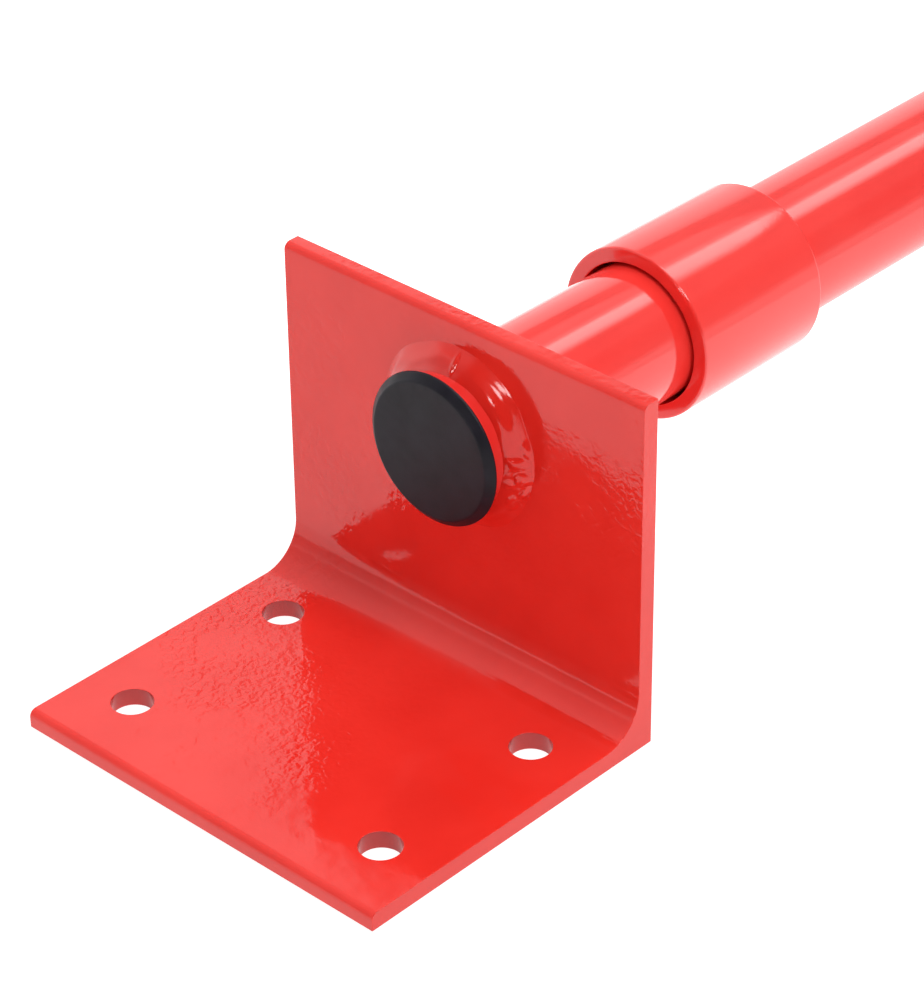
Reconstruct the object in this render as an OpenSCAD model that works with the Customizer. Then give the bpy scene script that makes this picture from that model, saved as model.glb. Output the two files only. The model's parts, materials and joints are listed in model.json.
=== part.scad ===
// Telescopic door security bar with two angle brackets and a keyed push lock.
// Row frame: X runs along the bar, Z points away from the wall, z = 0 is the wall face
// of both flat legs, and x = 0 is the middle of the closed bar.

/* [Brackets] */
// Length of both legs of the rolled angle
leg = 100; // [90:1:110]
// Length of angle that each bracket is cut to
bracket_w = 120; // [110:1:140]
// Thickness of the angle
leg_t = 5; // [4:0.5:6]
// Fillet radius in the root of the angle
root_r = 12; // [9:0.5:13]
// Radius on the inner edge of both toes
toe_r = 2; // [1.5:0.5:3.5]
// Diameter of the fixing holes
hole_d = 11; // [9:0.5:13]
// Distance between the fixing holes along the bar
hole_pitch_x = 53.4; // [48:0.2:56]
// Distance between the fixing holes across the bar
hole_pitch_y = 87; // [80:1:95]
// Distance from the tube side of the upright to the nearer row of holes
hole_row_x = 26.6; // [25:0.2:30]

/* [Bar] */
// Distance between the two uprights with the bar closed
span = 780; // [760:5:900]
// Height of the tube's axis above the wall face
tube_z = 67.5; // [64:0.5:72]
// Outer diameter of the stub and of the outer tube
tube_d = 38; // [36:0.5:38]
// Wall of the stub, the outer tube and the inner tube
wall = 2; // [2:0.1:2.2]
// Outer diameter of the inner tube
inner_d = 32; // [30:0.5:32]
// How far each tube end stands out of the front of its upright
stub_out = 8.6; // [7:0.2:9]
// Where the stub ends, measured from the near upright
stub_end = 83; // [80:1:84]
// Where the outer tube starts, measured from the near upright
outer_start = 86; // [86:1:88]
// How far the bar telescopes
travel = 400; // [300:25:400]
// Distance between the lock holes along the inner tube
lock_pitch = 25; // [25:25:50]

/* [Sleeve] */
// Outer diameter of the joint sleeve
sleeve_d = 48.3; // [46:0.1:50]
// Bore over the stub
sleeve_bore_d = 40; // [39.6:0.1:41]
// Where the sleeve starts, measured from the near upright
sleeve_start = 62; // [58:1:64]
// Length of the sleeve
sleeve_l = 48; // [44:1:52]

/* [Lock] */
// Where the lock stands, measured from the near upright
lock_at = 260; // [240:5:280]
// Outer diameter of the lock housing
housing_d = 34; // [32:1:36]
// Diameter of the push barrel
barrel_d = 22; // [21:0.5:22]
// Travel of the push barrel
push = 8; // [6:0.5:8]
// Diameter of the lock bolt
bolt_d = 9; // [8:0.5:9]

/* [Hidden] */
$fn = 96;

red = [0.86, 0.06, 0.04];
zinc = [0.72, 0.73, 0.75];
chrome = [0.82, 0.83, 0.85];
black = [0.05, 0.05, 0.055];
nylon = [0.86, 0.84, 0.78];

over = 1;                          // how far a cutter runs past the face it cuts
touch = 0.02;                      // gap between two pieces that meet in one body
run = 0.05;                        // radial clearance of a running fit
free = 0.35;                       // clearance between pieces that pass each other

near_x = -span / 2;                // tube side of the near upright
far_x = span / 2;                  // tube side of the far upright
tube_r = tube_d / 2;
bore_r = tube_r - wall;
inner_r = inner_d / 2;
inner_bore_r = inner_r - wall;
tube_out = leg_t + stub_out;       // tube end beyond the tube side of an upright

plug_r = 20.9;                     // flange of the end plug
plug_t = 2.3;                      // thickness of that flange
plug_depth = 12;                   // how deep the plug sits in the tube

inner_start = 5;                   // inner tube's fixed end, from the near upright
lock_hole_r = bolt_d / 2 + 1;
screw_r = 2.95;                    // stop screw
slot_r = screw_r + free;
inner_end = lock_at + travel + 50; // inner tube's free end, from the near upright
bush_wall = bore_r - inner_r;
sleeve_step = outer_start + 2;     // where the sleeve's bore narrows onto the outer tube

housing_r = housing_d / 2;
barrel_r = barrel_d / 2;
bolt_r = bolt_d / 2;
floor_h = 22;                      // heights in the lock are above the tube's axis
housing_h = 53.5;
barrel_h0 = 32;
barrel_h1 = 62;
skirt_h = 40;                      // top of the spring's recess in the barrel
core_h0 = 51;
cam_h0 = 47.3;
lug_h = 49.1;
lug_t = 2.8;
lug_w = 3.8;
lug_in = 4.6;
lug_out = 10.7;
core_r = 6;
cam_r = 4.9;
cam_off = 0.92;
set_h = 45;
set_r = 2;
set_in = 8.9;
cover_t = 1.2;
cover_h = barrel_h1 + 0.3;
pivot_x = -8.6;
rivet_r = 1.45;
bolt_tip_h = tube_r - 1.8;         // inside the outer tube's wall while the bar is free
spring_wire_r = 0.7;
spring_r = 7.4;
spring_turns = 5;

function arc(c, r, a0, a1, n = 14) =
    [for (i = [0:n]) c + r * [cos(a0 + (a1 - a0) * i / n), sin(a0 + (a1 - a0) * i / n)]];

// Places children so that their local z runs along the bar from x on the tube's axis
module on_bar(x) {
    translate([x, 0, tube_z]) rotate([0, 90, 0]) children();
}

module pipe(x0, x1, ro, ri) {
    on_bar(x0) difference() {
        cylinder(r = ro, h = x1 - x0);
        translate([0, 0, -over]) cylinder(r = ri, h = x1 - x0 + 2 * over);
    }
}

// Places children on the lock's axis, with z = 0 on the tube's axis
module at_lock() {
    translate([near_x + lock_at, 0, tube_z]) children();
}

module solid_bar(r, half = 40) {
    translate([-half, 0, 0]) rotate([0, 90, 0]) cylinder(r = r, h = 2 * half);
}

// ---- brackets ----

// Section of the angle: the tube side of the upright is x = 0 and the toe points to -x
module angle_section() {
    polygon(concat(
        [[0, 0], [0, leg]],
        arc([-leg_t + toe_r, leg - toe_r], toe_r, 90, 180),
        arc([-leg_t - root_r, leg_t + root_r], root_r, 0, -90),
        arc([-leg + toe_r, leg_t - toe_r], toe_r, 90, 180),
        [[-leg, 0]]));
}

module bracket() {
    difference() {
        rotate([90, 0, 0]) linear_extrude(height = bracket_w, center = true) angle_section();
        for (x = [hole_row_x, hole_row_x + hole_pitch_x], side = [-1, 1])
            translate([-x, side * hole_pitch_y / 2, -over])
                cylinder(d = hole_d, h = leg_t + 2 * over);
        translate([-leg_t - over, 0, tube_z]) rotate([0, 90, 0])
            cylinder(r = tube_r + touch, h = leg_t + 2 * over);
    }
}

// Fillet of weld round the tube, lying on the plane z = 0 and rising along the tube
module weld_ring(spread, rise) {
    r0 = tube_r + touch;
    rotate_extrude() polygon([[r0, 0], [r0 + spread, 0], [r0 + spread * 0.93, rise * 0.14],
        [r0 + spread * 0.5, rise * 0.5], [r0 + spread * 0.16, rise * 0.95], [r0, rise]]);
}

module front_weld() {
    translate([-leg_t, 0, tube_z]) rotate([0, -90, 0]) weld_ring(6.4, 4.6);
}

module back_weld() {
    translate([0, 0, tube_z]) rotate([0, 90, 0]) weld_ring(5, 4);
}

// Push-in plug: a dished flange, a hollow spigot and two gripping fins
module end_plug() {
    fin = bore_r - touch;
    spigot = bore_r - 1.2;
    translate([-tube_out, 0, tube_z]) rotate([0, -90, 0]) rotate_extrude() polygon([
        [0, 0], [0, plug_t - 0.15], [plug_r - 3.4, plug_t - 0.15], [plug_r - 2.9, plug_t],
        [plug_r - 2.4, plug_t], [plug_r - 1.1, plug_t - 0.5], [plug_r - 0.3, plug_t - 1.2],
        [plug_r, plug_t - 1.9],
        [plug_r, 0.4], [plug_r - 0.4, 0.02], [spigot, 0.02],
        [spigot, -3], [fin, -3.6], [spigot, -5.6], [spigot, -7], [fin, -7.6], [spigot, -9.6],
        [spigot, -plug_depth], [spigot - 2, -plug_depth], [spigot - 2, -0.6], [0, -0.6]]);
}

module at_near() { translate([near_x, 0, 0]) children(); }
module at_far() { translate([far_x, 0, 0]) mirror([1, 0, 0]) children(); }

module near_bracket() { color(red) at_near() bracket(); }
module near_front_weld() { color(red) at_near() front_weld(); }
module near_back_weld() { color(red) at_near() back_weld(); }
module near_end_plug() { color(black) at_near() end_plug(); }
module far_bracket() { color(red) at_far() bracket(); }
module far_front_weld() { color(red) at_far() front_weld(); }
module far_back_weld() { color(red) at_far() back_weld(); }
module far_end_plug() { color(black) at_far() end_plug(); }

// ---- tubes ----

module near_stub_tube() {
    color(red) pipe(near_x - tube_out, near_x + stub_end, tube_r, bore_r);
}

// Round lock holes on the outside and a guide slot on the wall side
module inner_tube() {
    slot_x0 = near_x + lock_at;
    color(zinc) difference() {
        pipe(near_x + inner_start, near_x + inner_end, inner_r, inner_bore_r);
        for (s = [0 : lock_pitch : travel])
            translate([near_x + lock_at + s, 0, tube_z]) cylinder(r = lock_hole_r, h = inner_r + over);
        for (s = [0, travel])
            translate([slot_x0 + s, 0, tube_z - inner_r - over]) cylinder(r = slot_r, h = inner_r);
        translate([slot_x0, -slot_r, tube_z - inner_r - over]) cube([travel, 2 * slot_r, inner_r]);
    }
}

// Two rings that centre the inner tube in the stub
module packing_rings() {
    color(zinc) for (x = [8, 60])
        pipe(near_x + x, near_x + x + 12, bore_r - touch, inner_r + touch);
}

module seam_weld() {
    color(zinc) on_bar(near_x + stub_end - 4) rotate_extrude()
        polygon([[inner_r + touch, 0], [bore_r - touch, 0], [bore_r - touch, 3],
                 [inner_r + 0.5, 3.4], [inner_r + touch, 3.8]]);
}

module rear_guide_bush() {
    plug_l = 12;
    color(nylon) on_bar(near_x + inner_end) rotate_extrude()
        polygon([[10, -plug_l], [inner_bore_r - touch, -plug_l], [inner_bore_r - touch, touch],
                 [bore_r - run, touch], [bore_r - run, 8], [bore_r - 1, 9], [10, 9]]);
}

module outer_tube() {
    color(red) difference() {
        pipe(near_x + outer_start, far_x + tube_out, tube_r, bore_r);
        at_lock() cylinder(r = lock_hole_r, h = tube_r + over);
        at_lock() mirror([0, 0, 1]) cylinder(r = slot_r, h = tube_r + over);
    }
}

module front_guide_bush() {
    lip = 2;
    color(nylon) on_bar(near_x + outer_start) rotate_extrude()
        polygon([[inner_r + run, -lip], [tube_r - 0.4, -lip], [tube_r - 0.1, -lip + 0.3],
                 [tube_r - 0.1, -touch], [bore_r - touch, -touch], [bore_r - touch, 30],
                 [inner_r + run, 30]]);
}

// ---- sleeve ----

module sleeve_weld_places() {
    x = near_x + sleeve_start + sleeve_l - 11;
    translate([x, 0, tube_z]) rotate([180, 0, 0]) children();
    translate([x, 0, tube_z]) rotate([-90, 0, 0]) children();
}

// Counterbored: clear of the stub in front, tight on the outer tube behind
module joint_sleeve() {
    r = sleeve_d / 2;
    edge = 0.6;
    step = sleeve_step - sleeve_start;
    color(red) difference() {
        on_bar(near_x + sleeve_start) rotate_extrude()
            polygon([[sleeve_bore_d / 2, 0], [r - edge, 0], [r, edge], [r, sleeve_l - edge],
                     [r - edge, sleeve_l], [tube_r + touch, sleeve_l], [tube_r + touch, step],
                     [sleeve_bore_d / 2, step]]);
        sleeve_weld_places() cylinder(r = 4, h = r + over);
    }
}

module sleeve_plug_welds() {
    r = sleeve_d / 2;
    color(red) difference() {
        sleeve_weld_places() {
            cylinder(r = 4 - touch, h = r + 0.2);
            translate([0, 0, r + 0.2]) cylinder(r1 = 3.4, r2 = 1.6, h = 0.5);
        }
        on_bar(near_x + sleeve_start) cylinder(r = tube_r + touch, h = sleeve_l);
    }
}

// ---- lock ----

// Saddle of weld round a boss of radius r that stands on the outer tube
module saddle_weld(r, spread, rise) {
    difference() {
        intersection() {
            cylinder(r = r + spread, h = 40);
            solid_bar(tube_r + rise);
        }
        solid_bar(tube_r + touch);
        cylinder(r = r + touch, h = 60);
        translate([-40, -40, -over]) cube([80, 80, 5]);
    }
}

module lug_groove(h) {
    translate([0, 0, h - 1.9]) difference() {
        cylinder(r = barrel_r + 1.8, h = 3.8);
        translate([0, 0, -over]) cylinder(r = barrel_r - over, h = 3.8 + 2 * over);
    }
}

module lock_housing() {
    edge = 1.2;
    color(red) at_lock() difference() {
        union() {
            cylinder(r = housing_r, h = housing_h - edge);
            translate([0, 0, housing_h - edge])
                cylinder(r1 = housing_r, r2 = housing_r - edge, h = edge);
        }
        solid_bar(tube_r + touch);
        translate([0, 0, floor_h]) cylinder(r = barrel_r + run, h = housing_h);
        cylinder(r = bolt_r + 0.5, h = housing_h);
        lug_groove(lug_h);
        lug_groove(lug_h - push);
        translate([0, 0, set_h]) rotate([0, 90, 0]) cylinder(r = set_r + touch, h = 30);
        translate([-40, -40, -over]) cube([80, 80, 7]);
    }
}

module housing_weld() {
    color(red) at_lock() saddle_weld(housing_r, 3, 2.6);
}

// A groove beside the set screw lets the barrel move in and out but not turn
module lock_barrel() {
    edge = 0.8;
    groove_lo = set_h - set_r - free;
    groove_hi = set_h + push + set_r + free;
    color(chrome) at_lock() difference() {
        union() {
            translate([0, 0, barrel_h0]) cylinder(r = barrel_r, h = barrel_h1 - barrel_h0 - edge);
            translate([0, 0, barrel_h1 - edge])
                cylinder(r1 = barrel_r, r2 = barrel_r - edge, h = edge);
        }
        translate([0, 0, barrel_h0 - over]) cylinder(r = 9.4, h = skirt_h - barrel_h0 + over);
        translate([0, 0, skirt_h - over]) cylinder(r = bolt_r + touch, h = 6 + over);
        translate([0, 0, cam_h0 - 0.3]) cylinder(r = core_r + run, h = 30);
        translate([-lug_w / 2 - 0.3, 0, lug_h - lug_t / 2 - 0.3])
            cube([lug_w + 0.6, barrel_r + over, lug_t + 0.6]);
        translate([set_in - 0.3, -set_r - free, groove_lo])
            cube([5, 2 * (set_r + free), groove_hi - groove_lo]);
        translate([pivot_x, 0, barrel_h1 - 4]) cylinder(r = rivet_r + touch, h = 10);
    }
}

module lock_bolt() {
    tip = 1;
    color(zinc) at_lock() {
        translate([0, 0, bolt_tip_h]) cylinder(r1 = bolt_r - tip, r2 = bolt_r, h = tip);
        translate([0, 0, bolt_tip_h + tip]) cylinder(r = bolt_r, h = skirt_h + 6 - bolt_tip_h - tip);
    }
}

// Keyway in a turned plug with an eccentric cam below it that drives the latch lug
module key_core() {
    color(zinc) at_lock() difference() {
        union() {
            translate([0, 0, core_h0]) cylinder(r = core_r, h = barrel_h1 - core_h0 - 0.3);
            translate([cam_off * cos(-45), cam_off * sin(-45), cam_h0])
                cylinder(r = cam_r, h = core_h0 - cam_h0 + touch);
        }
        translate([-0.8, -3.6, barrel_h1 - 9]) cube([1.6, 7.2, 10]);
        translate([-1.6, -3.6, barrel_h1 - 9]) cube([1.6, 2, 10]);
    }
}

module latch_lug() {
    color(zinc) at_lock() translate([-lug_w / 2, lug_in, lug_h - lug_t / 2])
        cube([lug_w, lug_out - lug_in, lug_t]);
}

module barrel_set_screw() {
    color(zinc) at_lock() translate([set_in, 0, set_h]) rotate([0, 90, 0]) difference() {
        cylinder(r = set_r, h = housing_r - set_in - 0.4);
        translate([0, 0, housing_r - set_in - 2.4]) cylinder(d = 2.3, h = 3, $fn = 6);
    }
}

module cover_rivet() {
    top = cover_h + cover_t + 0.1;
    color(chrome) at_lock() translate([pivot_x, 0, 0]) {
        translate([0, 0, barrel_h1 - 3.8]) cylinder(r = rivet_r, h = top - barrel_h1 + 3.8);
        translate([0, 0, top]) cylinder(r1 = 2.4, r2 = 1.7, h = 0.7);
    }
}

module dust_cover() {
    ear_r = 2.4;
    disc_r = 6.8;
    color(chrome) at_lock() translate([0, 0, cover_h]) difference() {
        union() {
            cylinder(r = disc_r, h = cover_t);
            translate([pivot_x, 0, 0]) cylinder(r = ear_r, h = cover_t);
            translate([pivot_x, -ear_r, 0]) cube([-pivot_x, 2 * ear_r, cover_t]);
            translate([0, -1.6, 0]) cube([disc_r + 1.6, 3.2, cover_t]);
        }
        translate([pivot_x, 0, -over]) cylinder(r = rivet_r + run, h = cover_t + 2 * over);
    }
}

function coil_point(a) = [spring_r * cos(a), spring_r * sin(a),
    floor_h + spring_wire_r + 0.1
    + (skirt_h - floor_h - 2 * spring_wire_r - 0.2) * a / (360 * spring_turns)];

// Compression spring between the housing's floor and the barrel
module plunger_spring() {
    sides = 8;
    steps = 16 * spring_turns;
    points = [for (i = [0:steps], j = [0:sides - 1])
        let (a = 360 * spring_turns * i / steps, b = 360 * j / sides)
        coil_point(a) + spring_wire_r * [cos(b) * cos(a), cos(b) * sin(a), sin(b)]];
    walls = [for (i = [0:steps - 1], j = [0:sides - 1])
        let (k = (j + 1) % sides)
        [i * sides + j, i * sides + k, (i + 1) * sides + k, (i + 1) * sides + j]];
    ends = [[for (j = [sides - 1:-1:0]) j], [for (j = [0:sides - 1]) steps * sides + j]];
    color(zinc) at_lock() polyhedron(points, concat(walls, ends));
}

// ---- stop screw on the wall side ----

module stop_boss() {
    color(red) at_lock() mirror([0, 0, 1]) difference() {
        cylinder(r = 7, h = 26);
        solid_bar(tube_r + touch);
        cylinder(r = 3, h = 40);
        translate([0, 0, 23]) cylinder(r = 5.2, h = 10);
        translate([-20, -20, -over]) cube([40, 40, 16]);
    }
}

module stop_boss_weld() {
    color(red) at_lock() mirror([0, 0, 1]) saddle_weld(7, 2, 2);
}

module stop_screw() {
    tip = inner_bore_r - 1.5;
    color(zinc) at_lock() mirror([0, 0, 1]) difference() {
        union() {
            translate([0, 0, tip]) cylinder(r = screw_r, h = 23.1 - tip);
            translate([0, 0, 23 + touch]) cylinder(r = 5, h = 3.2);
        }
        translate([0, 0, 24]) cylinder(d = 4.6, h = 4, $fn = 6);
    }
}

near_bracket();
near_stub_tube();
near_front_weld();
near_back_weld();
near_end_plug();
inner_tube();
packing_rings();
seam_weld();
rear_guide_bush();
far_bracket();
outer_tube();
far_front_weld();
far_back_weld();
far_end_plug();
joint_sleeve();
sleeve_plug_welds();
front_guide_bush();
lock_housing();
housing_weld();
plunger_spring();
barrel_set_screw();
stop_boss();
stop_boss_weld();
stop_screw();
lock_barrel();
lock_bolt();
cover_rivet();
key_core();
latch_lug();
dust_cover();
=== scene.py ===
"""Looks of the telescopic door security bar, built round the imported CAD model. Lengths are in metres."""
import json
import math

import bmesh
import bpy
from mathutils import Matrix, Vector, noise


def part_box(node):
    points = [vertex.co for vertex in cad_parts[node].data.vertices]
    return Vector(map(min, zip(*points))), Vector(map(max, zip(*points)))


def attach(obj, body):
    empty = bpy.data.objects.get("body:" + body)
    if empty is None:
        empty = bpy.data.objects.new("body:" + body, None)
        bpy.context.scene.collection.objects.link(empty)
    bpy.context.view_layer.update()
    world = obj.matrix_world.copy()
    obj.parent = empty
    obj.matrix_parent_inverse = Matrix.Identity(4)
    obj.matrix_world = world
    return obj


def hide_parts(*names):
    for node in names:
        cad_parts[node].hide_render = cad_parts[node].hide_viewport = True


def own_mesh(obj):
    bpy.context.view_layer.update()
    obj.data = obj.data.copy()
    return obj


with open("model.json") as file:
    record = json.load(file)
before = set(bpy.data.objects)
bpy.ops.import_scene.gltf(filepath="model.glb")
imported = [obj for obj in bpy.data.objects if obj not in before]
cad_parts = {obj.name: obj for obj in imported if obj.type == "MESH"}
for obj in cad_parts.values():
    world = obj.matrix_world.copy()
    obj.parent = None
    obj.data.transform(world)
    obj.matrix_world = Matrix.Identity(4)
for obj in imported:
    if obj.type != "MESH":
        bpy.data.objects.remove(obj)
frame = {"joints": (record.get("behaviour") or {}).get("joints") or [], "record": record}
bpy.context.view_layer.update()

MM = 0.001
TAU = 2 * math.pi
UP = (0, 0, 1)
DOWN = (0, 0, -1)
ALONG = (1, 0, 0)                                  # the bar's own direction
MOUNTS = {m["name"]: m for m in frame["record"]["mounts"]}
JOINTS = {j["name"]: j for j in frame["joints"]}

# ---- sizes read from the frame ----

near_lo, near_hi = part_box("near_bracket")
far_lo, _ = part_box("far_bracket")
stub_lo, stub_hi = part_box("near_stub_tube")
tube_lo, tube_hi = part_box("outer_tube")
sleeve_lo, sleeve_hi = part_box("joint_sleeve")
inner_lo, inner_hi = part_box("inner_tube")
housing_lo, housing_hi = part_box("lock_housing")

LEG = near_hi.z - near_lo.z                        # both legs of the angle
WIDTH = near_hi.y - near_lo.y
NEAR_FACE = near_hi.x                              # tube side of each upright
FAR_FACE = far_lo.x
AXIS_Z = (stub_lo.z + stub_hi.z) / 2               # height of the bar's axis
TUBE_R = (stub_hi.y - stub_lo.y) / 2
INNER_R = (inner_hi.y - inner_lo.y) / 2
SLEEVE_R = (sleeve_hi.y - sleeve_lo.y) / 2
LOCK_X = (housing_lo.x + housing_hi.x) / 2

# Sizes that a box can't give, the same as in the CAD
WALL = 2 * MM                                      # of the stub, the outer tube and the inner tube
TUBE_BORE = TUBE_R - WALL
INNER_BORE = INNER_R - WALL
LEG_T = 5 * MM
ROOT_R = 12 * MM
TOE_R = 2 * MM
SLEEVE_BORE_R = 20 * MM
SLEEVE_STEP = 26 * MM                              # how deep the sleeve's wide bore goes
BOLT_HOLE_R = 5.5 * MM
SCREW_HOLE_R = 3.3 * MM
LOCK_PITCH = 25 * MM                               # of the lock holes in the inner tube

GAP = 0.02 * MM                                    # kept between pieces that touch


# ---- mesh helpers ----

def arc(cx, cy, r, a0, a1, steps):
    """Points of an arc between two angles in degrees, both ends included."""
    angles = [math.radians(a0 + (a1 - a0) * i / steps) for i in range(steps + 1)]
    return [(cx + r * math.cos(a), cy + r * math.sin(a)) for a in angles]


def rounded(points, radii, steps=4):
    """A closed outline with each corner cut round by its own radius."""
    out = []
    for i, (p, r) in enumerate(zip(points, radii)):
        here = Vector(p)
        if r <= 0:
            out.append(tuple(here))
            continue
        before = Vector(points[i - 1]) - here
        after = Vector(points[(i + 1) % len(points)]) - here
        a = here + before.normalized() * min(r, before.length * 0.49)
        b = here + after.normalized() * min(r, after.length * 0.49)
        for k in range(steps + 1):
            t = k / steps
            out.append(tuple(a * (1 - t) ** 2 + here * 2 * t * (1 - t) + b * t ** 2))
    return out


def new_piece(name, verts, faces, sharp=40):
    """A smooth-shaded mesh object whose edges over `sharp` degrees stay crisp."""
    mesh = bpy.data.meshes.new(name)
    mesh.from_pydata([tuple(v) for v in verts], [], faces)
    mesh.validate()
    obj = bpy.data.objects.new(name, mesh)
    bpy.context.scene.collection.objects.link(obj)
    face_outward(obj)
    shade(obj, sharp)
    return obj


def face_outward(obj):
    bm = bmesh.new()
    bm.from_mesh(obj.data)
    bmesh.ops.remove_doubles(bm, verts=bm.verts, dist=1e-7)
    bmesh.ops.recalc_face_normals(bm, faces=bm.faces)
    bm.to_mesh(obj.data)
    bm.free()


def shade(obj, sharp):
    obj.data.polygons.foreach_set("use_smooth", [True] * len(obj.data.polygons))
    obj.data.set_sharp_from_angle(angle=math.radians(sharp))
    obj.data.update()


def bake_modifiers(obj):
    """Replaces the mesh with what its modifiers make."""
    graph = bpy.context.evaluated_depsgraph_get()
    result = obj.evaluated_get(graph)
    made = bpy.data.meshes.new_from_object(result, preserve_all_data_layers=True, depsgraph=graph)
    obj.modifiers.clear()
    obj.data = made


def cut(obj, *cutters):
    for cutter in cutters:
        m = obj.modifiers.new("cut", "BOOLEAN")
        m.operation = "DIFFERENCE"
        m.solver = "EXACT"
        m.object = cutter
    bake_modifiers(obj)
    for cutter in cutters:
        bpy.data.objects.remove(cutter)


def soften(obj, width, segments=4, angle=40):
    """Rounds every edge sharper than `angle` degrees."""
    m = obj.modifiers.new("soften", "BEVEL")
    m.width = width
    m.segments = segments
    m.limit_method = "ANGLE"
    m.angle_limit = math.radians(angle)
    m.harden_normals = True
    m.use_clamp_overlap = True
    bake_modifiers(obj)


def join(first, *others):
    """Puts the meshes of others into first."""
    bm = bmesh.new()
    bm.from_mesh(first.data)
    for other in others:
        bm.from_mesh(other.data)
        bpy.data.objects.remove(other)
    bm.to_mesh(first.data)
    bm.free()
    return first


def frame_for(axis):
    """Two unit vectors square to axis."""
    axis = Vector(axis).normalized()
    first = Vector((0, 0, 1)) if abs(axis.z) < 0.9 else Vector((1, 0, 0))
    u = (first - axis * first.dot(axis)).normalized()
    return u, axis.cross(u)


def hoop_faces(sections, n):
    """Faces of a closed hoop of sections with n points each."""
    faces = []
    for i in range(sections):
        j = (i + 1) % sections
        for k in range(n):
            m = (k + 1) % n
            faces.append((i * n + k, j * n + k, j * n + m, i * n + m))
    return faces


def row_faces(rings, around):
    """Faces along an open row of rings with `around` points each, counted by the spaces between them."""
    faces = []
    for k in range(rings):
        for i in range(around):
            j = (i + 1) % around
            faces.append((k * around + i, k * around + j, (k + 1) * around + j, (k + 1) * around + i))
    return faces


def lathe(name, profile, centre, axis, segments=160, warp=None, sharp=40):
    """Turns a closed profile of (radius, distance along axis) points round the axis through centre.
    warp may move them: it gets the angle and the point, and gives the new point."""
    axis = Vector(axis).normalized()
    centre = Vector(centre)
    u, v = frame_for(axis)
    verts = []
    for i in range(segments):
        a = TAU * i / segments
        out = u * math.cos(a) + v * math.sin(a)
        for r, h in profile:
            if warp:
                r, h = warp(a, r, h)
            verts.append(centre + out * r + axis * h)
    return new_piece(name, verts, hoop_faces(segments, len(profile)), sharp)


def prism(name, first, last):
    """A closed solid between two outlines with the same number of points."""
    n = len(first)
    faces = [tuple(range(n)), tuple(range(2 * n - 1, n - 1, -1))]
    faces += [(k, (k + 1) % n, n + (k + 1) % n, n + k) for k in range(n)]
    return new_piece(name, first + last, faces)


def rod(r, centre, axis, length, segments=64, start=0.0):
    """A plain closed cylinder, for cutting."""
    profile = [(0, start), (r, start), (r, start + length), (0, start + length)]
    return lathe("cutter", profile, centre, axis, segments)


def box_piece(name, lo, hi):
    """A plain closed box, for cutting or as the start of a piece."""
    xs, ys, zs = zip(lo, hi)
    verts = [(x, y, z) for x in xs for y in ys for z in zs]
    faces = [(0, 1, 3, 2), (4, 6, 7, 5), (0, 4, 5, 1), (2, 3, 7, 6), (0, 2, 6, 4), (1, 5, 7, 3)]
    return new_piece(name, verts, faces)


def dress(obj, material, body, node):
    """Gives a piece its material and its body, and hides the CAD node it stands for."""
    obj.data.materials.clear()
    obj.data.materials.append(material)
    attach(obj, body)
    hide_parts(node)
    return obj


# ---- materials ----

class Graph:
    """Short calls for building a node tree whose values start from one texture coordinate."""

    def __init__(self, tree, coordinate):
        self.tree = tree
        self.coord = tree.nodes.new("ShaderNodeTexCoord").outputs[coordinate]

    def link(self, a, b):
        self.tree.links.new(a, b)

    def xyz(self):
        split = self.tree.nodes.new("ShaderNodeSeparateXYZ")
        self.link(self.coord, split.inputs[0])
        return tuple(split.outputs)

    def maths(self, operation, a, b=0.0):
        m = self.tree.nodes.new("ShaderNodeMath")
        m.operation = operation
        for socket, value in zip(m.inputs, (a, b)):
            if isinstance(value, (int, float)):
                socket.default_value = value
            else:
                self.link(value, socket)
        return m.outputs["Value"]

    def fade(self, value, lo, hi, to_lo, to_hi):
        """Goes smoothly from to_lo, where value is lo, to to_hi, where it is hi."""
        m = self.tree.nodes.new("ShaderNodeMapRange")
        m.interpolation_type = "SMOOTHSTEP"
        for key, number in (("From Min", lo), ("From Max", hi), ("To Min", to_lo), ("To Max", to_hi)):
            m.inputs[key].default_value = number
        self.link(value, m.inputs["Value"])
        return m.outputs["Result"]


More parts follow.
